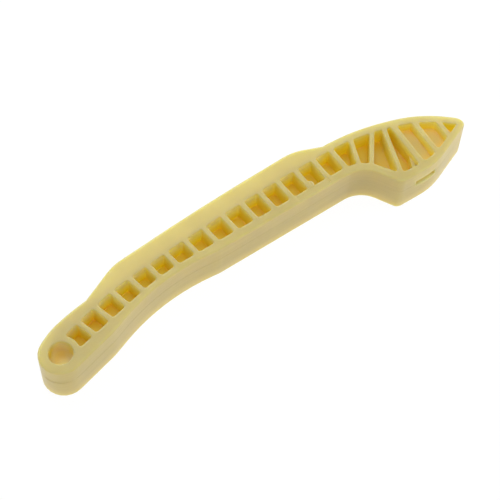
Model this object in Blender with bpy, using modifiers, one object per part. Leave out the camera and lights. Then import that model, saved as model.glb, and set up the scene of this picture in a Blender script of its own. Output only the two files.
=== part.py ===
"""Timing chain guide: one moulded nylon arm with a pivot boss, a ribbed body and two chain lips.

The arm lies on one side face, with its length along +X and the chain's running face towards +Y.
The plan is drawn in millimetres about the pivot axis, and the finished arm is then moved so
that the origin is at the bottom centre of its bounding box.
"""
import math

import bmesh
import bpy
from mathutils import Vector

MM = 0.001

# Whole arm
THICKNESS = 20.0
EDGE_RADIUS = 0.7

# Pivot boss
BOSS_RADIUS = 8.8
BORE_DIAMETER = 9.6
BOSS_RING = 2.7
BORE_CHAMFER = 0.25

# Back edge, from the boss to the tip: corner points and the radius that rounds each
NECK = (21.0, -3.3)
NECK_RADIUS = 30.0
KNEE = (48.8, 7.8)
KNEE_RADIUS = 95.0
KINK = (75.0, 5.4)
KINK_RADIUS = 12.0
HOLLOW = (144.9, 6.9)
HOLLOW_RADIUS = 12.5
HEEL = (153.8, -8.3)
HEEL_RADIUS = 3.6
SOLE = (171.3, -8.3)
SOLE_RADIUS = 30.0
NOSE = (193.1, 0.95)
NOSE_RADIUS = 2.1

# Running face, from the nose back to the boss
NOSE_TOP = (192.7, 4.5)
NOSE_TOP_RADIUS = 5.0
BROW = (180.1, 15.5)
BROW_RADIUS = 55.0
CREST = (150.2, 24.1)
CREST_RADIUS = 105.0
FACE = (78.0, 22.1)
FACE_RADIUS = 1200.0
RAMP = (11.6, 13.45)
RAMP_RADIUS = 110.0
SHOULDER = (1.44, 10.74)
SHOULDER_RADIUS = 30.0

# Chain lips, one along each side of the running face
LIP_THICKNESS = 2.6
LIP_EDGE_RADIUS = 0.6
LIP_FOOT = 2.2
LIP_START = 19.5
LIP_RISE = (35.7, 22.1)
LIP_RISE_RADIUS = 22.0
LIP_MIDDLE = (79.0, 26.3)
LIP_MIDDLE_RADIUS = 1200.0
LIP_FALL = (124.7, 28.15)
LIP_FALL_RADIUS = 24.0
LIP_END = 136.4

# Pockets on both sides of one web, which is thicker behind the last pockets at the nose
WEB = 3.0
NOSE_WEB = 10.4
NOSE_POCKETS = 3
POCKET_CORNER = 0.9
TIP_CORNER = 0.3
LEAST_CORNER = 0.15
FLOOR_INSET = 0.1
RIM_RADIUS = 0.45
FLOOR_RADIUS = 0.5
FACE_WALL = 3.3
FACE_WALL_PIVOT = 5.9
FACE_WALL_TAPER_END = 29.0
BACK_WALL = 3.5
BACK_WALL_PIVOT = 5.3
BACK_WALL_TAPER_END = 50.0
HEEL_WALL = 3.6
SOLE_WALL = 2.9
INNER_HEEL_RADIUS = 4.5

# Cross ribs along the arm: first place, then groups of equal pitch, and the lean in degrees
RIB_THICKNESS = 2.3
RIB_START = 12.1
GROUP_COUNTS = (5, 4, 5)
GROUP_PITCHES = (8.8, 9.4, 8.95)
PIVOT_RIB_LEAN = 19.0
KNEE_RIB_LEAN = 9.5
HEAD_RIB_LEAN = 2.0

# Fan ribs in the head: x on the running face's wall, x on the back wall, thickness
FAN_RIBS = ((148.2, 144.4, 1.9), (157.8, 148.8, 1.9), (163.0, 156.3, 2.0),
            (167.0, 166.4, 2.7), (175.4, 174.9, 2.3), (184.1, 183.8, 2.2))

# Low gusset from the back wall into a fan rib
GUSSET_X = 162.5
GUSSET_LEAN = 23.0
GUSSET_LENGTH = 8.2
GUSSET_THICKNESS = 1.5
GUSSET_DROP = 3.0

# Round ejector pad where one arm rib meets the back wall
PAD_AFTER_RIBS = 12
PAD_RADIUS = 1.8
PAD_FROM_WALL = 1.0
PAD_SHIFT = 0.6
PAD_DROP = 0.15

# Shallow recess in the top of the back wall, between its outer edge and the pockets
STRIP_START = 113.6
STRIP_END = 129.7
STRIP_FROM_EDGE = 0.8
STRIP_WIDTH = 2.7
STRIP_DEPTH = 0.2

# Clip slot in the sole
SLOT_X = 167.0
SLOT_LENGTH = 10.8
SLOT_HEIGHT = 3.6
SLOT_DEPTH = 2.0
SLOT_ABOVE_MIDDLE = 2.2

# Faceting
FACET_ANGLE = math.radians(15.0)
FACET_ERROR = 0.03
CORNER_STEPS = 3
RING_STEPS = 4
PAD_STEPS = 16
WALL_STEP = 4.0
OVERLAP = 1.0
SAME_PLACE = 1e-6
HEIGHT_DIGITS = 7


def meet(p, d, q, e):
    """Point where the line through p along d crosses the line through q along e."""
    t = (q - p).cross(e) / d.cross(e)
    return p + d * t


def rounded(corners, closed, steps=None):
    """Points of a polygon whose corners, given as (point, radius), are rounded by arcs.

    A radius is reduced where its tangents would be longer than the sides that carry them."""
    count = len(corners)
    points = [Vector(c[0]) for c in corners]
    reach = []
    for i, (_, radius) in enumerate(corners):
        if radius == 0 or (not closed and i in (0, count - 1)):
            reach.append(0.0)
            continue
        a = (points[i] - points[i - 1]).normalized()
        b = (points[(i + 1) % count] - points[i]).normalized()
        reach.append(radius * math.tan(abs(a.angle_signed(b)) / 2))
    scale = [1.0] * count
    for i in range(count if closed else count - 1):
        j = (i + 1) % count
        side = (points[j] - points[i]).length
        if reach[i] + reach[j] > side:
            share = side / (reach[i] + reach[j])
            scale[i] = min(scale[i], share)
            scale[j] = min(scale[j], share)
    out = []
    for i, (_, radius) in enumerate(corners):
        if reach[i] == 0:
            out.append(points[i])
            continue
        a = (points[i] - points[i - 1]).normalized()
        b = (points[(i + 1) % count] - points[i]).normalized()
        turn = a.angle_signed(b)
        radius = radius * scale[i]
        start = points[i] - a * reach[i] * scale[i]
        side = 1.0 if a.cross(b) > 0 else -1.0
        centre = start + Vector((-a.y, a.x)) * side * radius
        arm = start - centre
        n = steps
        if n is None:
            fine = 2 * math.acos(max(0.0, 1 - FACET_ERROR / radius))
            n = max(1, math.ceil(abs(turn) / min(FACET_ANGLE, fine)))
        for k in range(n + 1):
            angle = side * abs(turn) * k / n
            out.append(centre + Vector((arm.x * math.cos(angle) - arm.y * math.sin(angle),
                                        arm.x * math.sin(angle) + arm.y * math.cos(angle))))
    return out if steps else distinct(out)


def distinct(points):
    """Points of a line without those that repeat the one before."""
    out = points[:1]
    for point in points[1:]:
        if (point - out[-1]).length > SAME_PLACE:
            out.append(point)
    return out


def inset(points, walls):
    """Corners of an open polyline moved to its left, each side by its own wall."""
    lines = []
    for p, q, wall in zip(points, points[1:], walls):
        d = (q - p).normalized()
        lines.append((p + Vector((-d.y, d.x)) * wall, d))
    out = [lines[0][0]]
    for (p, d), (q, e) in zip(lines, lines[1:]):
        out.append(meet(p, d, q, e))
    last, d = lines[-1]
    out.append(last + d * (points[-1] - points[-2]).length)
    return out


def crossing(line, p, d):
    """Point of an open polyline on the infinite line through p along d, nearest to p."""
    best = None
    for a, b in zip(line, line[1:]):
        side_a = d.cross(a - p)
        side_b = d.cross(b - p)
        if side_a * side_b > 0 or side_a == side_b:
            continue
        hit = a.lerp(b, side_a / (side_a - side_b))
        if best is None or (hit - p).length < (best - p).length:
            best = hit
    return best


def height_at(line, x):
    """y of a polyline that runs along x, at a given x."""
    return crossing(line, Vector((x, line[0].y)), Vector((0.0, 1.0))).y


def along(line, point):
    """Distance along a polyline to its place nearest to a point."""
    best = None
    length = 0.0
    for p, q in zip(line, line[1:]):
        run = q - p
        t = min(1.0, max(0.0, (point - p).dot(run) / run.length_squared))
        gap = (p + run * t - point).length
        if best is None or gap < best[0]:
            best = (gap, length + run.length * t)
        length += run.length
    return best[1]


def stretch(line, a, b, count):
    """Points that share out a polyline evenly between its points a and b, both left out."""
    start = along(line, a)
    end = along(line, b)
    out = []
    for i in range(1, count):
        rest = start + (end - start) * i / count
        for p, q in zip(line, line[1:]):
            side = (q - p).length
            if rest <= side:
                out.append((p.lerp(q, rest / side), 0.0))
                break
            rest -= side
    return out


def tangent_angle(point, radius, side):
    """Angle on a circle about the pivot where a tangent from an outer point touches it."""
    return math.atan2(point.y, point.x) + side * math.acos(radius / point.length)


def on_boss(radius, angle):
    return Vector((radius * math.cos(angle), radius * math.sin(angle)))


def back_corners():
    """Corners of the back edge with their radii, from the boss to the nose."""
    start = on_boss(BOSS_RADIUS, tangent_angle(Vector(NECK), BOSS_RADIUS, -1))
    return [(start, 0.0), (NECK, NECK_RADIUS), (KNEE, KNEE_RADIUS), (KINK, KINK_RADIUS),
            (HOLLOW, HOLLOW_RADIUS), (HEEL, HEEL_RADIUS), (SOLE, SOLE_RADIUS),
            (NOSE, NOSE_RADIUS)]


def face_corners():
    """Corners of the running face with their radii, from the nose back to the boss."""
    end = on_boss(BOSS_RADIUS, tangent_angle(Vector(SHOULDER), BOSS_RADIUS, 1))
    return [(NOSE_TOP, NOSE_TOP_RADIUS), (BROW, BROW_RADIUS), (CREST, CREST_RADIUS),
            (FACE, FACE_RADIUS),
            (RAMP, RAMP_RADIUS), (SHOULDER, SHOULDER_RADIUS), (end, 0.0)]


def boss_arc():
    """Points of the boss's round end, between the two edges that are tangent to it."""
    start = tangent_angle(Vector(SHOULDER), BOSS_RADIUS, 1)
    end = tangent_angle(Vector(NECK), BOSS_RADIUS, -1) + 2 * math.pi
    n = math.ceil((end - start) / FACET_ANGLE)
    return [(on_boss(BOSS_RADIUS, start + (end - start) * k / n), 0.0) for k in range(1, n)]


def arm_outline():
    return rounded(back_corners() + face_corners() + boss_arc(), True)


def back_line():
    return rounded(back_corners() + [(NOSE_TOP, 0.0)], False)


def face_line():
    return rounded([(NOSE, 0.0)] + face_corners(), False)


def lip_outline():
    """Outline of one lip, with its foot inside the wall behind the running face."""
    face = face_line()
    start = Vector((LIP_START, height_at(face, LIP_START)))
    end = Vector((LIP_END, height_at(face, LIP_END)))
    foot = Vector((0.0, -LIP_FOOT))
    middle = Vector(FACE) + foot
    return rounded([(start + foot, 0.0), (middle, FACE_RADIUS), (end + foot, 0.0), (end, 0.0),
                    (LIP_FALL, LIP_FALL_RADIUS), (LIP_MIDDLE, LIP_MIDDLE_RADIUS),
                    (LIP_RISE, LIP_RISE_RADIUS), (start, 0.0)], True)


def inner_back(grow):
    """Pocket side of the back wall, moved outwards by grow."""
    line = back_line()
    near = BOSS_RADIUS
    start = Vector((near, height_at(line, near) + BACK_WALL_PIVOT))
    bend = Vector((BACK_WALL_TAPER_END, height_at(line, BACK_WALL_TAPER_END) + BACK_WALL))
    start = start + (start - bend)
    walls = inset([Vector(p) for p in (KINK, HOLLOW, HEEL, SOLE, NOSE)],
                  (BACK_WALL, HEEL_WALL, HEEL_WALL, SOLE_WALL))
    corners = [start, bend] + walls[1:]
    radii = [0.0, KNEE_RADIUS, HOLLOW_RADIUS + HEEL_WALL, INNER_HEEL_RADIUS,
             SOLE_RADIUS - HEEL_WALL, 0.0]
    moved = inset(corners, [-grow] * (len(corners) - 1))
    return rounded(list(zip(moved, radii)), False)


def inner_face(grow):
    """Pocket side of the wall behind the running face, moved outwards by grow."""
    line = face_line()
    walls = inset([Vector(p) for p in (NOSE_TOP, BROW, CREST, FACE, RAMP)], [FACE_WALL] * 4)
    bend_x = FACE_WALL_TAPER_END
    bend = Vector((bend_x, height_at(line, bend_x) - FACE_WALL))
    end = Vector((BOSS_RADIUS, height_at(line, BOSS_RADIUS) - FACE_WALL_PIVOT))
    end = end + (end - bend)
    corners = walls[:-1] + [bend, end]
    radii = [0.0, BROW_RADIUS - FACE_WALL, CREST_RADIUS - FACE_WALL,
             FACE_RADIUS - FACE_WALL, RAMP_RADIUS, 0.0]
    moved = inset(corners, [-grow] * (len(corners) - 1))
    return rounded(list(zip(moved, radii)), False)


def rib_lean(x, places):
    """Lean of an arm rib, from the pivot over the knee to the head."""
    knee = KNEE[0]
    first = places[0]
    last = places[-1]
    if x < knee:
        return PIVOT_RIB_LEAN + (KNEE_RIB_LEAN - PIVOT_RIB_LEAN) * (x - first) / (knee - first)
    return KNEE_RIB_LEAN + (HEAD_RIB_LEAN - KNEE_RIB_LEAN) * (x - knee) / (last - knee)


def rib_lines():
    """Centre line (point, direction towards the running face) and thickness of every rib."""
    face = inner_face(0.0)
    back = inner_back(0.0)
    places = [RIB_START]
    for count, pitch in zip(GROUP_COUNTS, GROUP_PITCHES):
        for _ in range(count):
            places.append(places[-1] + pitch)
    ribs = []
    for x in places:
        lean = math.radians(rib_lean(x, places))
        top = Vector((x, height_at(face, x)))
        ribs.append((top, Vector((-math.sin(lean), math.cos(lean))), RIB_THICKNESS))
    for face_x, back_x, thickness in FAN_RIBS:
        top = Vector((face_x, height_at(face, face_x)))
        low = Vector((back_x, height_at(back, back_x)))
        ribs.append((top, (top - low).normalized(), thickness))
    return ribs


def rib_side(rib, side, grow):
    """Point and direction of one side of a rib, with the rib made thinner by grow."""
    point, along, thickness = rib
    across = Vector((along.y, -along.x))
    return point + across * side * (thickness / 2 - grow), along


def pocket_corners(left, right, grow):
    """Walls of the pocket between two ribs and its four corners, all moved outwards by grow.

    The first pocket has the boss ring in place of its left rib, and the last one ends where
    the two walls meet."""
    back = inner_back(grow)
    face = inner_face(grow)
    if left is None:
        radius = BORE_DIAMETER / 2 + BOSS_RING - grow
        low = ring_crossing(back, radius)
        high = ring_crossing(face, radius)
    else:
        point, direction = rib_side(left, 1, grow)
        low = crossing(back, point, direction)
        high = crossing(face, point, direction)
    if right is None:
        low_right = meet(back[-1], back[-1] - back[-2], face[0], face[1] - face[0])
        high_right = low_right
        back = back[:-1] + [low_right]
        face = [low_right] + face[1:]
    else:
        point, direction = rib_side(right, -1, grow)
        low_right = crossing(back, point, direction)
        high_right = crossing(face, point, direction)
    return back, face, low, low_right, high_right, high


def pocket_ring(left, right, grow):
    """Outline of the pocket between two ribs, all its sides moved outwards by grow."""
    back, face, low, low_right, high_right, high = pocket_corners(left, right, 0.0)
    n_back = max(1, int((low_right - low).length / WALL_STEP))
    n_face = max(1, int((high_right - high).length / WALL_STEP))
    back, face, low, low_right, high_right, high = pocket_corners(left, right, grow)
    corner = max((TIP_CORNER if right is None else POCKET_CORNER) + grow, LEAST_CORNER)
    points = [(low, corner)] + stretch(back, low, low_right, n_back) + [(low_right, corner)]
    if right is not None:
        points.append((high_right, corner))
    points += stretch(face, high_right, high, n_face) + [(high, corner)]
    if left is None:
        start = math.atan2(high.y, high.x)
        turn = math.atan2(low.y, low.x) - start
        for k in range(1, RING_STEPS):
            points.append((on_boss(low.length, start + turn * k / RING_STEPS), 0.0))
    return rounded(points, True, CORNER_STEPS)


def ring_crossing(line, radius):
    """Point with x above 0 where a polyline crosses the circle of a given radius on the pivot."""
    for a, b in zip(line, line[1:]):
        run = b - a
        half = a.dot(run) / run.length_squared
        square = half * half - (a.length_squared - radius * radius) / run.length_squared
        if square < 0:
            continue
        for t in (-half + math.sqrt(square), -half - math.sqrt(square)):
            if 0 <= t <= 1 and (a + run * t).x > 0:
                return a + run * t
    return None


def new_object(name, mesh, collection):
    obj = bpy.data.objects.new(name, mesh)
    collection.objects.link(obj)
    return obj


def plate(name, outline, half, edge_radius, middle, collection):
    """Flat solid from an outline, with rounded edges, centred at height middle (mm)."""
    curve = bpy.data.curves.new(name, "CURVE")
    curve.dimensions = "2D"
    curve.fill_mode = "BOTH"
    curve.extrude = (half - edge_radius) * MM
    curve.bevel_depth = edge_radius * MM
    curve.bevel_resolution = 1
    curve.offset = -edge_radius * MM
    spline = curve.splines.new("POLY")
    spline.points.add(len(outline) - 1)
    for point, place in zip(spline.points, outline):
        point.co = (place.x * MM, place.y * MM, 0.0, 1.0)
    spline.use_cyclic_u = True
    source = new_object(name + "_curve", curve, collection)
    bpy.context.view_layer.update()
    evaluated = source.evaluated_get(bpy.context.evaluated_depsgraph_get())
    mesh = bpy.data.meshes.new_from_object(evaluated)
    mesh.name = name
    bpy.data.objects.remove(source)
    shape = bmesh.new()
    shape.from_mesh(mesh)
    bmesh.ops.remove_doubles(shape, verts=shape.verts, dist=1e-6)
    bmesh.ops.dissolve_limit(shape, angle_limit=math.radians(0.5), verts=shape.verts,
                             edges=shape.edges)
    bmesh.ops.recalc_face_normals(shape, faces=shape.faces)
    for vertex in shape.verts:
        vertex.co.z = round(vertex.co.z + middle * MM, HEIGHT_DIGITS)
    shape.to_mesh(mesh)
    shape.free()
    return new_object(name, mesh, collection)


def loft(name, sections, collection):
    """Closed solid through rings of equally many points, given as (height, ring) in mm."""
    shape = bmesh.new()
    rings = []
    for height, ring in sections:
        rings.append([shape.verts.new((p.x * MM, p.y * MM, height * MM)) for p in ring])
    for lower, upper in zip(rings, rings[1:]):
        for k in range(len(lower)):
            j = (k + 1) % len(lower)
            shape.faces.new((lower[k], lower[j], upper[j], upper[k]))
    shape.faces.new(list(reversed(rings[0])))
    shape.faces.new(rings[-1])
    bmesh.ops.remove_doubles(shape, verts=shape.verts, dist=SAME_PLACE)
    bmesh.ops.recalc_face_normals(shape, faces=shape.faces)
    mesh = bpy.data.meshes.new(name)
    shape.to_mesh(mesh)
    shape.free()
    return new_object(name, mesh, collection)


def pocket_levels(floor):
    """Height and outward growth of each section of a pocket, from its floor to above its rim."""
    top = THICKNESS / 2
    levels = []
    for k in range(3):
        angle = math.radians(45.0 * k)
        levels.append((floor + FLOOR_RADIUS * (1 - math.cos(angle)),
                       -FLOOR_RADIUS * (1 - math.sin(angle)) - FLOOR_INSET))
    for k in range(3):
        angle = math.radians(45.0 * k)
        levels.append((top - RIM_RADIUS * (1 - math.sin(angle)),
                       RIM_RADIUS * (1 - math.cos(angle))))
    levels.append((top + OVERLAP, RIM_RADIUS))
    return levels


def add_pockets(collection):
    """Cutters of every pocket: boss to first rib, between ribs, and last rib to nose."""
    ribs = rib_lines()
    count = len(ribs) + 1
    cutters = []
    for k, (left, right) in enumerate(zip([None] + ribs, ribs + [None])):
        web = NOSE_WEB if k >= count - NOSE_POCKETS else WEB
        sections = [(height, pocket_ring(left, right, grow))
                    for height, grow in pocket_levels(web / 2)]
        cutters.append(loft("pocket_cut_%02d" % k, sections, collection))
    return cutters


def bar(name, start, direction, length, width, low, high, collection):
    """Upright bar whose plan is a rectangle centred on a line from start along direction."""
    across = Vector((direction.y, -direction.x)) * width / 2
    end = start + direction * length
    ring = [start - across, start + across, end + across, end - across]
    return loft(name, [(low, ring), (high, ring)], collection)


def add_gusset(collection):
    lean = math.radians(GUSSET_LEAN)
    direction = Vector((math.sin(lean), math.cos(lean)))
    foot = Vector((GUSSET_X, height_at(inner_back(0.0), GUSSET_X) - SOLE_WALL / 2))
    return bar("gusset", foot, direction, GUSSET_LENGTH + SOLE_WALL / 2, GUSSET_THICKNESS,
               WEB / 2 - OVERLAP, THICKNESS / 2 - GUSSET_DROP, collection)


def add_pad(collection):
    point, direction, _ = rib_lines()[PAD_AFTER_RIBS]
    across = Vector((direction.y, -direction.x))
    centre = crossing(inner_back(0.0), point, direction) + direction * PAD_FROM_WALL
    centre += across * PAD_SHIFT
    ring = []
    for k in range(PAD_STEPS):
        angle = 2 * math.pi * k / PAD_STEPS
        ring.append(centre + on_boss(PAD_RADIUS, angle))
    top = THICKNESS / 2 - PAD_DROP
    return loft("pad", [(WEB / 2 - OVERLAP, ring), (top, ring)], collection)


def add_strip(collection):
    line = back_line()
    start = Vector((STRIP_START, height_at(line, STRIP_START)))
    end = Vector((STRIP_END, height_at(line, STRIP_END)))
    direction = (end - start).normalized()
    inwards = Vector((-direction.y, direction.x)) * (STRIP_FROM_EDGE + STRIP_WIDTH / 2)
    half = THICKNESS / 2
    return bar("strip_cut", start + inwards, direction, (end - start).length,
               STRIP_WIDTH, half - STRIP_DEPTH, half + OVERLAP, collection)


def add_slot(collection):
    line = back_line()
    reach = SLOT_LENGTH / 2
    start = Vector((SLOT_X - reach, height_at(line, SLOT_X - reach)))
    end = Vector((SLOT_X + reach, height_at(line, SLOT_X + reach)))
    direction = (end - start).normalized()
    inwards = Vector((-direction.y, direction.x)) * (SLOT_DEPTH - OVERLAP) / 2
    low = SLOT_ABOVE_MIDDLE - SLOT_HEIGHT / 2
    return bar("slot_cut", start + inwards, direction, SLOT_LENGTH, SLOT_DEPTH + OVERLAP,
               low, low + SLOT_HEIGHT, collection)


def turned(name, profile, collection):
    """Solid turned about the pivot axis from (radius, height) points."""
    mesh = bpy.data.meshes.new(name)
    points = [(radius * MM, 0.0, height * MM) for radius, height in profile]
    mesh.from_pydata(points, [(k, k + 1) for k in range(len(points) - 1)], [])
    obj = new_object(name, mesh, collection)
    screw = obj.modifiers.new("turn", "SCREW")
    screw.steps = 36
    screw.render_steps = 36
    screw.use_merge_vertices = True
    screw.merge_threshold = 1e-6
    return obj


def boolean(obj, operation, other):
    step = obj.modifiers.new(operation.lower() + "_" + other.name, "BOOLEAN")
    step.operation = operation
    step.object = other
    step.solver = "EXACT"


def move_to_origin(objects, body):
    """Moves all objects so that the body's bounding box stands centred on the origin."""
    bpy.context.view_layer.update()
    evaluated = body.evaluated_get(bpy.context.evaluated_depsgraph_get())
    corners = [body.matrix_world @ Vector(corner) for corner in evaluated.bound_box]
    low = Vector([min(c[k] for c in corners) for k in range(3)])
    high = Vector([max(c[k] for c in corners) for k in range(3)])
    shift = Vector((-(low.x + high.x) / 2, -(low.y + high.y) / 2, -low.z))
    for obj in objects:
        obj.location += shift


def nylon():
    material = bpy.data.materials.new("natural_nylon")
    material.use_nodes = True
    shader = material.node_tree.nodes["Principled BSDF"]
    shader.inputs["Base Color"].default_value = (0.72, 0.60, 0.30, 1.0)
    shader.inputs["Roughness"].default_value = 0.45
    shader.inputs["Metallic"].default_value = 0.0
    return material


def build():
    for old in list(bpy.data.objects):
        bpy.data.objects.remove(old)
    parts = bpy.data.collections.new("timing_chain_guide")
    tools = bpy.data.collections.new("cutters")
    bpy.context.scene.collection.children.link(parts)
    bpy.context.scene.collection.children.link(tools)

    half = THICKNESS / 2
    rail = plate("guide_rail", arm_outline(), half, EDGE_RADIUS, 0.0, parts)
    lip = plate("lip", lip_outline(), LIP_THICKNESS / 2, LIP_EDGE_RADIUS,
                half - LIP_THICKNESS / 2, tools)
    boolean(rail, "UNION", lip)
    for cutter in add_pockets(tools):
        boolean(rail, "DIFFERENCE", cutter)
    boolean(rail, "UNION", add_gusset(tools))

    mirror = rail.modifiers.new("both_sides", "MIRROR")
    mirror.use_axis = (False, False, True)
    mirror.use_bisect_axis = (False, False, True)
    mirror.use_mirror_merge = True
    mirror.merge_threshold = 1e-6

    bore = BORE_DIAMETER / 2
    wide = bore + BORE_CHAMFER
    tall = half + OVERLAP
    bore_cut = turned("bore_cut", [(0.0, tall), (wide, tall), (wide, half),
                                   (bore, half - BORE_CHAMFER), (bore, BORE_CHAMFER - half),
                                   (wide, -half), (wide, -tall), (0.0, -tall)], tools)
    boolean(rail, "DIFFERENCE", bore_cut)
    boolean(rail, "UNION", add_pad(tools))
    boolean(rail, "DIFFERENCE", add_strip(tools))
    boolean(rail, "DIFFERENCE", add_slot(tools))

    rail.data.materials.clear()
    rail.data.materials.append(nylon())
    for tool in tools.objects:
        tool.hide_render = True
        tool.display_type = "WIRE"
    move_to_origin([rail] + list(tools.objects), rail)


build()
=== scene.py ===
"""Looks of the timing chain guide: natural nylon, soft studio light and a white floor."""
import math

import bmesh
import bpy
from mathutils import Matrix, Vector


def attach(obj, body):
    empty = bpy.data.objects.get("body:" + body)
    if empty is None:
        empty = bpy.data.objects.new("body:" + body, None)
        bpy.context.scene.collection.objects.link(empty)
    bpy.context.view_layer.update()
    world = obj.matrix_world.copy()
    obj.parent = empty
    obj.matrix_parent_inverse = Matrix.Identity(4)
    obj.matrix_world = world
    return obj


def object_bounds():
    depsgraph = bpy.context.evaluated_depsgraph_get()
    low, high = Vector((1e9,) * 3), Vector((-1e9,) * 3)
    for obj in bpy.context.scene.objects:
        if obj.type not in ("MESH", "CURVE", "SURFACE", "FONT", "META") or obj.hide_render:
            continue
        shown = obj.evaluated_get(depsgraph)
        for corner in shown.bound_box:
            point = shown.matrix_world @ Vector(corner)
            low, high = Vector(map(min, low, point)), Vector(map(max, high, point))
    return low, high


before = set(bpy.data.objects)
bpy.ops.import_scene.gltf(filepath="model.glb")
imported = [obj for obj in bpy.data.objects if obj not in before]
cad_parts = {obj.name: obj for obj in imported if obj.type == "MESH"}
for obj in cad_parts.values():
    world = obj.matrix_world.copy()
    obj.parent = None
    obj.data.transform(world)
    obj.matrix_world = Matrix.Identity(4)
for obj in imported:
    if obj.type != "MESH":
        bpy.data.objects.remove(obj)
cad_low, cad_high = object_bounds()

MM = 0.001
MIDDLE = (cad_low[2] + cad_high[2]) / 2.0
WHITE = (1.0, 1.0, 1.0, 1.0)

# Node trees: how nodes are set out, and the Mix node's sockets by number, as their names repeat
NODES_A_ROW = 8
NODE_STEP = 250.0
MIX_VECTORS_IN = (4, 5)
MIX_VECTOR_OUT = 1
MIX_COLOURS_IN = (6, 7)
MIX_COLOUR_OUT = 2

# Camera: place in millimetres, then its heading, its dip below the horizon and its roll
CAMERA_PLACE = (-177.2, -249.7, 531.1)
CAMERA_HEADING = 35.403
CAMERA_DIP = 60.171
CAMERA_ROLL = 2.294
CAMERA_LENS = 108.03
CAMERA_SENSOR = 36.0
CAMERA_NEAR = 0.01

# Nylon: its colour from the closest pocket to open faces, the open end being its own colour and
# the pocket end a brighter, deeper amber that is painted light, standing in for light through the
# walls and lifting the pockets' shade; how far light travels in it, its gloss
NYLON_AND_POCKET_LIGHT_COLOURS = (
    (0.12, (0.97, 0.745, 0.075)),
    (0.28, (0.93, 0.74, 0.17)),
    (0.46, (0.86, 0.73, 0.28)),
    (0.70, (0.76, 0.625, 0.19)),
    (0.86, (0.64, 0.55, 0.23)),
)
NYLON_GLOW = (1.0, 0.9, 0.4)
GLOW_DISTANCE = 0.0080
NYLON_IOR = 1.53
NYLON_GLOSS = 0.25
ROUGHNESS = (0.31, 0.41)

# Openness: how far it looks for walls, what level faces gain as painted light from above so
# pocket floors come out lighter, and its range from open to hidden
POCKET_REACH = 0.012
OPENNESS_SAMPLES = 16
LEVEL_LIGHT_LIFT = 0.02
HIDDEN_ZONE = (0.85, 0.60)

# Rims of the pockets, rounded over at these distances from half height
RIM_SOFTNESS = 0.0012
RIM_SAMPLES = 6
RIM_ZONE = (0.0060, 0.0080)

# Pocket walls behind the running face: painted light, paler towards their rims as if lit there
# through that face, along the row of pockets alone
FAR_WALL_LIGHT = (0.95, 0.85, 0.62)
FAR_WALL_ZONE = (0.0015, 0.0080)
FAR_WALL_RIM = (0.0078, 0.0099)
FAR_WALL_MIDDLE = -0.023
FAR_WALL_ENDS = (0.064, 0.070)

# Clip slot: painted shade, a darker olive for the slot's shaded inside, within a short way of its
# middle
SLOT_SHADE_COLOUR = (0.74, 0.66, 0.34)
SLOT_PLACE = (0.0749, -0.0163, 0.0122)
SLOT_ZONE = (0.0060, 0.0068)

# Painted light and shade: a pinker tint on the upright outer walls for how the light falls on
# them, a deeper orange shade on the deepest floors, and a painted glow of floor light at the foot
# of the walls
SIDE_LIGHT_TINT = (0.97, 0.93, 0.92)
DEEP_FLOOR_SHADE = (1.0, 0.90, 0.55)
DEEP_ZONE = (0.42, 0.30)
FOOT_GLOW = 0.18
FOOT_HEIGHT = 0.0060

# Strip behind the running face: painted light and shade, a little darker further in and lighter
# close to that face as if lit through it, and where it lies from that face
STRIP_LIGHT_AND_SHADE = (-0.03, 0.10)
STRIP_ZONE = (-0.0120, -0.0010)
FACE_STEPS = 16
FACE_SPAN = 0.04

# Unevenness of the moulded skin: cells per metre, fineness, then how much they change
NOISE_ZONE = (0.3, 0.7)
CLOUD_SCALE = (90.0, 90.0, 90.0)
CLOUD_DETAIL = 3.0
CLOUD_DEPTH = 0.04
MOTTLE = (0.965, 1.035)
WAVE_SCALE = (120.0, 120.0, 120.0)
WAVE_DETAIL = 1.0
WAVE_HEIGHT = 0.00012
STREAK_SCALE = (40.0, 40.0, 1400.0)
STREAK_DETAIL = 2.0
STREAK_HEIGHT = 0.00004
STREAK_DEPTH = 0.03
GRAIN_SCALE = (2600.0, 2600.0, 2600.0)
GRAIN_DETAIL = 2.0
GRAIN_HEIGHT = 0.00002

# Floor and sky
FLOOR_DROP = 0.0001
FLOOR_REACH = 3.0
FLOOR_COLOUR = (0.9, 0.9, 0.9, 1.0)
FLOOR_GLOW_SHARE = 0.9
FLOOR_LIGHT = 0.48
SKY = 0.211

# Lamps, aimed at the origin: name, place, size and power
LAMPS = (
    ("back", (0.0, 0.38, 0.24), 0.5, 0.85),
    ("top", (0.0, 0.1, 1.2), 1.0, 4.4),
    ("right", (0.52, -0.18, 0.24), 0.5, 1.35),
    ("left", (-0.6, -0.4, 0.3), 0.5, 0.6),
)

# Parting line: a thin ridge a little above half height along the back, from the boss to the nose
LINE_ABOVE_MIDDLE = 1.9
LINE_HALF_WIDTH = 0.20
LINE_HEIGHT = 0.16
LINE_LEAST = 0.30
LINE_FADE = 16.0
LINE_SINK = 0.05
LINE_CORNERS = 3

# Edges that stay sharp, and points that count as one
SHARP_ANGLE = math.radians(32.0)
SAME_PLACE = 1e-6


def add_node(tree, kind):
    """New node, set out in rows so that none hides another."""
    row, column = divmod(len(tree.nodes), NODES_A_ROW)
    made = tree.nodes.new(kind)
    made.location = (column * NODE_STEP, -row * NODE_STEP)
    return made


def maths(tree, operation, first, second=0.0):
    """Math node whose inputs are sockets to link or numbers to set."""
    made = add_node(tree, "ShaderNodeMath")
    made.operation = operation
    for socket, value in zip(made.inputs, (first, second)):
        if isinstance(value, bpy.types.NodeSocket):
            tree.links.new(value, socket)
        else:
            socket.default_value = value
    return made.outputs[0]


def chain(tree, operation, first, *others):
    """Values put together one after the other by an operation."""
    result = first
    for other in others:
        result = maths(tree, operation, result, other)
    return result


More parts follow.
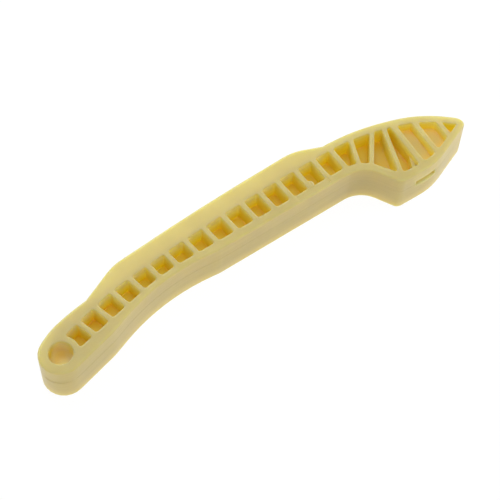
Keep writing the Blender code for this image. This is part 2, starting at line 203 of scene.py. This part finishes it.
def ramp(tree, value, stops):
    """Colour read from stops, each a position with its colour."""
    made = add_node(tree, "ShaderNodeValToRGB")
    tree.links.new(value, made.inputs[0])
    elements = made.color_ramp.elements
    while len(elements) < len(stops):
        elements.new(1.0)
    for element, (position, colour) in zip(elements, stops):
        element.position = position
        element.color = (*colour, 1.0)
    return made.outputs[0]


def ranged(tree, value, zone, result=(0.0, 1.0)):
    """Value taken from one range to another, and held at its ends."""
    made = add_node(tree, "ShaderNodeMapRange")
    tree.links.new(value, made.inputs["Value"])
    made.inputs["From Min"].default_value = zone[0]
    made.inputs["From Max"].default_value = zone[1]
    made.inputs["To Min"].default_value = result[0]
    made.inputs["To Max"].default_value = result[1]
    return made.outputs[0]


def noise(tree, scale, detail):
    """Noise with a number of cells per metre along x, y and z."""
    made = add_node(tree, "ShaderNodeTexNoise")
    made.inputs["Scale"].default_value = 1.0
    made.inputs["Detail"].default_value = detail
    stretch = add_node(tree, "ShaderNodeVectorMath")
    stretch.operation = "MULTIPLY"
    stretch.inputs[1].default_value = scale
    where = add_node(tree, "ShaderNodeTexCoord")
    tree.links.new(where.outputs["Object"], stretch.inputs[0])
    tree.links.new(stretch.outputs[0], made.inputs["Vector"])
    return made.outputs["Fac"]


def split(tree, vector):
    """x, y and z of a vector."""
    made = add_node(tree, "ShaderNodeSeparateXYZ")
    tree.links.new(vector, made.inputs[0])
    return made.outputs["X"], made.outputs["Y"], made.outputs["Z"]


def mixed(tree, share, first, second, blend="MIX"):
    """Colour first, with a share of the fixed colour second."""
    made = add_node(tree, "ShaderNodeMix")
    made.data_type = "RGBA"
    made.blend_type = blend
    base, tint = MIX_COLOURS_IN
    tree.links.new(share, made.inputs[0])
    tree.links.new(first, made.inputs[base])
    made.inputs[tint].default_value = (*second, 1.0)
    return made.outputs[MIX_COLOUR_OUT]


def bump(tree, height, distance, under):
    """Normal raised by a height, on top of the normal under it."""
    made = add_node(tree, "ShaderNodeBump")
    made.inputs["Distance"].default_value = distance
    tree.links.new(height, made.inputs["Height"])
    tree.links.new(under, made.inputs["Normal"])
    return made.outputs[0]


def rim_normal(tree, shape, away):
    """Normal that is rounded over near the two sides, where the pockets have soft rims."""
    rounded = add_node(tree, "ShaderNodeBevel")
    rounded.samples = RIM_SAMPLES
    rounded.inputs["Radius"].default_value = RIM_SOFTNESS
    made = add_node(tree, "ShaderNodeMix")
    made.data_type = "VECTOR"
    plain, soft = MIX_VECTORS_IN
    tree.links.new(ranged(tree, away, RIM_ZONE), made.inputs[0])
    tree.links.new(shape.outputs["Normal"], made.inputs[plain])
    tree.links.new(rounded.outputs[0], made.inputs[soft])
    return made.outputs[MIX_VECTOR_OUT]


def open_share(tree, normal):
    """1 for a point with nothing near it, less the closer the walls around it stand."""
    made = add_node(tree, "ShaderNodeAmbientOcclusion")
    made.samples = OPENNESS_SAMPLES
    made.only_local = True
    made.inputs["Distance"].default_value = POCKET_REACH
    tree.links.new(normal, made.inputs["Normal"])
    return made.outputs["AO"]


def height_on(line, x):
    """y of a line of points at x, straight between its points."""
    for first, second in zip(line, line[1:]):
        if second.x > x and second.x > first.x:
            share = max(x - first.x, 0.0) / (second.x - first.x)
            return first.y + (second.y - first.y) * share
    return line[-1].y


def behind_face(tree, x, y, face_line):
    """How far a point lies from the running face, less than 0 inside the arm."""
    along = ranged(tree, x, (cad_low[0], cad_high[0]))
    curve = add_node(tree, "ShaderNodeFloatCurve")
    tree.links.new(along, curve.inputs["Value"])
    points = curve.mapping.curves[0].points
    for step in range(FACE_STEPS + 1):
        share = step / FACE_STEPS
        at = cad_low[0] + (cad_high[0] - cad_low[0]) * share
        height = 0.5 + height_on(face_line, at) / FACE_SPAN
        if step == 0:
            points[0].location = (share, height)
        elif step == FACE_STEPS:
            points[-1].location = (share, height)
        else:
            points.new(share, height)
    curve.mapping.update()
    line = ranged(tree, curve.outputs[0], (0.0, 1.0), (-FACE_SPAN / 2, FACE_SPAN / 2))
    return maths(tree, "SUBTRACT", y, line)


def far_wall_light_share(tree, x, away, facing_y, hidden):
    """How much painted light a point on a pocket's far wall gets, most just under the rim."""
    near_rim = ranged(tree, away, FAR_WALL_ZONE)
    below_rim = ranged(tree, away, FAR_WALL_RIM, (1.0, 0.0))
    along = maths(tree, "ABSOLUTE", maths(tree, "SUBTRACT", x, FAR_WALL_MIDDLE))
    in_row = ranged(tree, along, FAR_WALL_ENDS, (1.0, 0.0))
    return chain(tree, "MULTIPLY", facing_y, -1.0, near_rim, hidden, below_rim, in_row)


def slot_shade_share(tree, position, hidden):
    """1 inside the clip slot, where its painted shade goes."""
    away = add_node(tree, "ShaderNodeVectorMath")
    away.operation = "DISTANCE"
    away.inputs[1].default_value = SLOT_PLACE
    tree.links.new(position, away.inputs[0])
    near = ranged(tree, away.outputs["Value"], SLOT_ZONE, (1.0, 0.0))
    return maths(tree, "MULTIPLY", near, hidden)


def nylon(name, translucency, face_line):
    """Nylon whose colour follows how enclosed a point is, with small terms for its place; the
    pocket colours and most of these terms are painted light and shade.
    """
    material = bpy.data.materials.new(name)
    material.use_nodes = True
    tree = material.node_tree
    shader = tree.nodes["Principled BSDF"]
    shader.inputs["IOR"].default_value = NYLON_IOR
    shader.inputs["Specular IOR Level"].default_value = NYLON_GLOSS
    shader.inputs["Subsurface Weight"].default_value = translucency
    shader.inputs["Subsurface Radius"].default_value = NYLON_GLOW
    shader.inputs["Subsurface Scale"].default_value = GLOW_DISTANCE

    # Where a point lies and how it faces
    shape = add_node(tree, "ShaderNodeNewGeometry")
    x, y, z = split(tree, shape.outputs["Position"])
    away = maths(tree, "ABSOLUTE", maths(tree, "SUBTRACT", z, MIDDLE))
    facing = split(tree, shape.outputs["Normal"])
    level = maths(tree, "ABSOLUTE", facing[2])
    soft = rim_normal(tree, shape, away)
    openness = open_share(tree, soft)
    hidden = ranged(tree, openness, HIDDEN_ZONE)
    upright = maths(tree, "SUBTRACT", 1.0, level)
    shown = maths(tree, "SUBTRACT", 1.0, hidden)
    side = maths(tree, "MULTIPLY", upright, shown)

    # Colour: the nylon's own colour on open faces, with painted light and shade in the pockets,
    # on their far walls, in the clip slot, on the upright walls and on the deepest floors
    clouds = noise(tree, CLOUD_SCALE, CLOUD_DETAIL)
    cloudy = ranged(tree, clouds, NOISE_ZONE, (-CLOUD_DEPTH, CLOUD_DEPTH))
    # painted light: level faces count as more open, so floors take a lighter colour as if lit
    # from above
    level_light = maths(tree, "MULTIPLY", level, LEVEL_LIGHT_LIFT)
    # painted light: enclosed points take the brighter, deeper amber from the pocket end of the
    # ramp
    colour = ramp(tree, chain(tree, "ADD", openness, level_light, cloudy), NYLON_AND_POCKET_LIGHT_COLOURS)
    # painted light: the far walls of the pockets are paler just under their rims
    colour = mixed(tree, far_wall_light_share(tree, x, away, facing[1], hidden), colour, FAR_WALL_LIGHT)
    # painted shade: the inside of the clip slot is darker and more olive
    colour = mixed(tree, slot_shade_share(tree, shape.outputs["Position"], hidden), colour, SLOT_SHADE_COLOUR)
    # painted light: the upright outer walls are tinted pinker for how light falls on them
    colour = mixed(tree, side, colour, SIDE_LIGHT_TINT, "MULTIPLY")
    # painted shade: the deepest level floors are a deeper orange
    deep_floor_shade = maths(tree, "MULTIPLY", ranged(tree, openness, DEEP_ZONE), level)
    colour = mixed(tree, deep_floor_shade, colour, DEEP_FLOOR_SHADE, "MULTIPLY")

    # Brightness: random mottle and streaks, with painted light and shade on the strip behind the
    # running face and a painted glow at the foot of the walls
    streaks = noise(tree, STREAK_SCALE, STREAK_DETAIL)
    mottle = ranged(tree, clouds, NOISE_ZONE, MOTTLE)
    # painted light and shade: level faces are lighter close behind the running face and darker
    # further in
    strip_light_amount = ranged(tree, behind_face(tree, x, y, face_line), STRIP_ZONE, STRIP_LIGHT_AND_SHADE)
    strip_light = maths(tree, "MULTIPLY", strip_light_amount, level)
    # painted light: a glow of floor light at the foot of the upright walls
    painted_foot_glow = maths(tree, "MULTIPLY", ranged(tree, z, (0.0, FOOT_HEIGHT), (FOOT_GLOW, 0.0)), side)
    streaked = ranged(tree, streaks, NOISE_ZONE, (-STREAK_DEPTH, STREAK_DEPTH))
    toned = add_node(tree, "ShaderNodeHueSaturation")
    tree.links.new(chain(tree, "ADD", mottle, strip_light, painted_foot_glow, streaked), toned.inputs["Value"])
    tree.links.new(colour, toned.inputs["Color"])
    tree.links.new(toned.outputs[0], shader.inputs["Base Color"])

    # Skin
    tree.links.new(ranged(tree, clouds, NOISE_ZONE, ROUGHNESS), shader.inputs["Roughness"])
    waved = bump(tree, noise(tree, WAVE_SCALE, WAVE_DETAIL), WAVE_HEIGHT, soft)
    lined = bump(tree, streaks, STREAK_HEIGHT, waved)
    grained = bump(tree, noise(tree, GRAIN_SCALE, GRAIN_DETAIL), GRAIN_HEIGHT, lined)
    tree.links.new(grained, shader.inputs["Normal"])
    return material


def smooth(obj):
    """Smooth shading that breaks at sharp edges, without touching the mesh itself."""
    for polygon in obj.data.polygons:
        polygon.use_smooth = True
    weld = obj.modifiers.new("weld", "WELD")
    weld.merge_threshold = SAME_PLACE
    parted = obj.modifiers.new("split", "EDGE_SPLIT")
    parted.split_angle = SHARP_ANGLE
    weighted = obj.modifiers.new("weighted", "WEIGHTED_NORMAL")
    weighted.keep_sharp = True


def link(obj):
    bpy.context.scene.collection.objects.link(obj)


def outline_at(obj, height, side):
    """Outer outline of obj cut at a height, from its lowest x to its highest x.

    side is min for the way along its back and max for the way along its running face.
    """
    shape = bmesh.new()
    shape.from_mesh(obj.data)
    shape.transform(obj.matrix_world)
    bmesh.ops.remove_doubles(shape, verts=shape.verts, dist=SAME_PLACE)
    cut = bmesh.ops.bisect_plane(
        shape, geom=shape.verts[:] + shape.edges[:] + shape.faces[:], dist=SAME_PLACE,
        plane_co=(0.0, 0.0, height), plane_no=(0.0, 0.0, 1.0))["geom_cut"]
    near = {}
    for edge in cut:
        if isinstance(edge, bmesh.types.BMEdge):
            for vertex in edge.verts:
                near.setdefault(vertex, []).append(edge.other_vert(vertex))
    start = min(near, key=lambda vertex: vertex.co.x)
    end = max(near, key=lambda vertex: vertex.co.x)
    walk = [start, side(near[start], key=lambda vertex: vertex.co.y)]
    while walk[-1] is not end:
        walk.append(next(vertex for vertex in near[walk[-1]] if vertex is not walk[-2]))
    points = [Vector((vertex.co.x, vertex.co.y, height)) for vertex in walk]
    shape.free()
    return points


def ridge_corners(points):
    """Corners of the ridge at each point: its crest, then its foot above and below."""
    verts = []
    travelled = 0.0
    reach = Vector((0.0, 0.0, LINE_HALF_WIDTH * MM))
    for index, point in enumerate(points):
        before = points[max(index - 1, 0)]
        after = points[min(index + 1, len(points) - 1)]
        along = (after - before).normalized()
        outwards = Vector((along.y, -along.x, 0.0))
        travelled += (point - before).length
        share = LINE_LEAST + (1.0 - LINE_LEAST) * math.exp(-travelled / (LINE_FADE * MM))
        crest = point + outwards * (LINE_HEIGHT * share * MM)
        crest.x = min(max(crest.x, cad_low[0]), cad_high[0])
        crest.y = min(max(crest.y, cad_low[1]), cad_high[1])
        painted_foot_glow = point - outwards * (LINE_SINK * MM)
        verts += [crest, painted_foot_glow + reach, painted_foot_glow - reach]
    return verts


def add_parting_line(obj, material):
    verts = ridge_corners(outline_at(obj, MIDDLE + LINE_ABOVE_MIDDLE * MM, min))
    last = len(verts) - LINE_CORNERS
    faces = [(0, 2, 1)]
    for first in range(0, last, LINE_CORNERS):
        for side in range(LINE_CORNERS):
            here = first + side
            other = first + (side + 1) % LINE_CORNERS
            faces.append((here, other, other + LINE_CORNERS, here + LINE_CORNERS))
    faces.append((last, last + 1, last + 2))
    mesh = bpy.data.meshes.new("parting_line")
    mesh.from_pydata(verts, [], faces)
    mesh.materials.append(material)
    line = bpy.data.objects.new("parting_line", mesh)
    link(line)
    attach(line, "root")


def add_lamp(name, place, size, power):
    light = bpy.data.lights.new(name, "AREA")
    light.shape = "DISK"
    light.size = size
    light.energy = power
    obj = bpy.data.objects.new(name, light)
    link(obj)
    obj.location = place
    obj.rotation_euler = (-Vector(place)).to_track_quat("-Z", "Y").to_euler()


def add_camera():
    data = bpy.data.cameras.new("camera")
    data.lens = CAMERA_LENS
    data.sensor_width = CAMERA_SENSOR
    data.sensor_fit = "HORIZONTAL"
    data.clip_start = CAMERA_NEAR
    obj = bpy.data.objects.new("camera", data)
    link(obj)
    turn = (Matrix.Rotation(-math.radians(CAMERA_HEADING), 4, "Z")
            @ Matrix.Rotation(math.radians(90.0 - CAMERA_DIP), 4, "X")
            @ Matrix.Rotation(math.radians(CAMERA_ROLL), 4, "Z"))
    obj.matrix_world = Matrix.Translation(Vector(CAMERA_PLACE) * MM) @ turn
    bpy.context.scene.camera = obj


def seen_share(tree):
    """1 for rays that show the background itself: to the camera, in gloss and through glass."""
    rays = add_node(tree, "ShaderNodeLightPath")
    return chain(tree, "MAXIMUM", rays.outputs["Is Camera Ray"], rays.outputs["Is Glossy Ray"],
                 rays.outputs["Is Transmission Ray"])


def emission(tree, strength):
    made = add_node(tree, "ShaderNodeEmission")
    made.inputs["Color"].default_value = WHITE
    made.inputs["Strength"].default_value = strength
    return made.outputs[0]


def blended(tree, share, first, second):
    """Shader first, with a share of shader second."""
    made = add_node(tree, "ShaderNodeMixShader")
    for socket, value in zip(made.inputs, (share, first, second)):
        tree.links.new(value, socket)
    return made.outputs[0]


def floor_white():
    """White floor that takes shadows, and is clear from beneath to show the part's underside."""
    material = bpy.data.materials.new("floor_white")
    material.use_nodes = True
    tree = material.node_tree
    tree.nodes.clear()
    plain = add_node(tree, "ShaderNodeBsdfDiffuse")
    plain.inputs["Color"].default_value = FLOOR_COLOUR
    lit = add_node(tree, "ShaderNodeAddShader")
    tree.links.new(plain.outputs[0], lit.inputs[0])
    tree.links.new(emission(tree, FLOOR_LIGHT), lit.inputs[1])
    share = maths(tree, "MULTIPLY", seen_share(tree), FLOOR_GLOW_SHARE)
    above = blended(tree, share, lit.outputs[0], emission(tree, 1.0))
    shape = add_node(tree, "ShaderNodeNewGeometry")
    clear = add_node(tree, "ShaderNodeBsdfTransparent")
    one_sided = blended(tree, shape.outputs["Backfacing"], above, clear.outputs[0])
    out = add_node(tree, "ShaderNodeOutputMaterial")
    tree.links.new(one_sided, out.inputs["Surface"])
    return material


def add_floor():
    corners = ((-1, -1), (1, -1), (1, 1), (-1, 1))
    mesh = bpy.data.meshes.new("floor")
    mesh.from_pydata([(x * FLOOR_REACH, y * FLOOR_REACH, -FLOOR_DROP) for x, y in corners],
                     [], [(0, 1, 2, 3)])
    mesh.materials.append(floor_white())
    floor = bpy.data.objects.new("floor", mesh)
    link(floor)


def add_world():
    world = bpy.data.worlds.new("studio")
    bpy.context.scene.world = world
    world.use_nodes = True
    tree = world.node_tree
    back = tree.nodes["Background"]
    back.inputs["Color"].default_value = WHITE
    strength = ranged(tree, seen_share(tree), (0.0, 1.0), (SKY, 1.0))
    tree.links.new(strength, back.inputs["Strength"])


bpy.context.scene.view_settings.view_transform = "Standard"

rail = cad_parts["guide_rail"]
smooth(rail)
rail.data.materials.clear()
face_line = outline_at(rail, MIDDLE, max)
rail.data.materials.append(nylon("natural_nylon_moulded", 1.0, face_line))
add_parting_line(rail, nylon("natural_nylon_ridge", 0.0, face_line))

add_camera()
add_floor()
add_world()
for lamp in LAMPS:
    add_lamp(*lamp)
